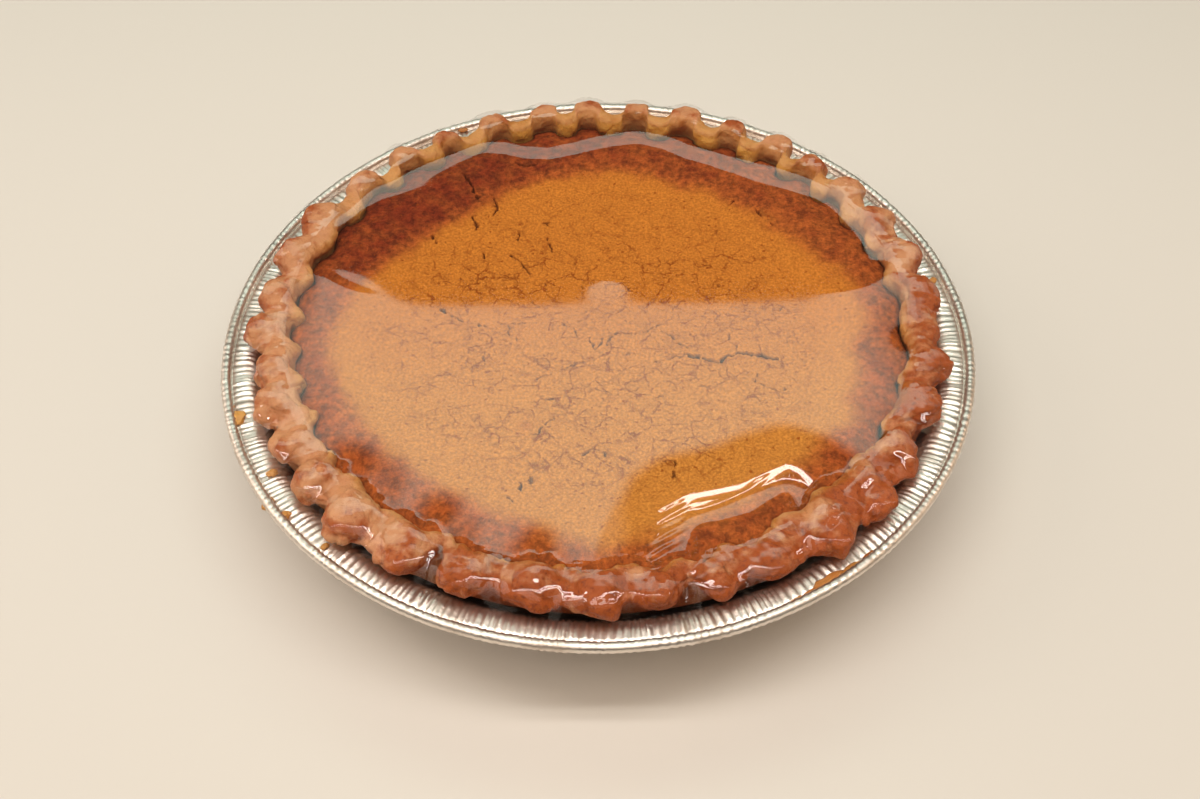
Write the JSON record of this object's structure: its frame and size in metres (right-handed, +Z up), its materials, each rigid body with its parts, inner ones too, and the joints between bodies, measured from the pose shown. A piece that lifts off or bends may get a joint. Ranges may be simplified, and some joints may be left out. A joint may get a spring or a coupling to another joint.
{
  "type": "bean pie in a foil tin",
  "caption": "Round custard-filled pie with a crimped crust, in its own fluted foil tin, wrapped in clear film.",
  "frame": {"origin": "on the table, under the middle of the tin's floor", "axes": "+Z up, +X to the viewer's right and +Y away from the viewer, as the pie is shown"},
  "size_m": [0.2461, 0.2463, 0.0461],
  "materials": {
    "foil": "bright pressed foil, fine pleats",
    "crust": "baked pastry, golden to orange brown, slightly greasy",
    "custard": "matte baked custard, orange tan with a darker red-brown ring",
    "film": "clear glossy film"
  },
  "bodies": {
    "root": {"tin": "foil", "crust": "crust", "filling": "custard", "film": "film"}
  },
  "joints": []
}
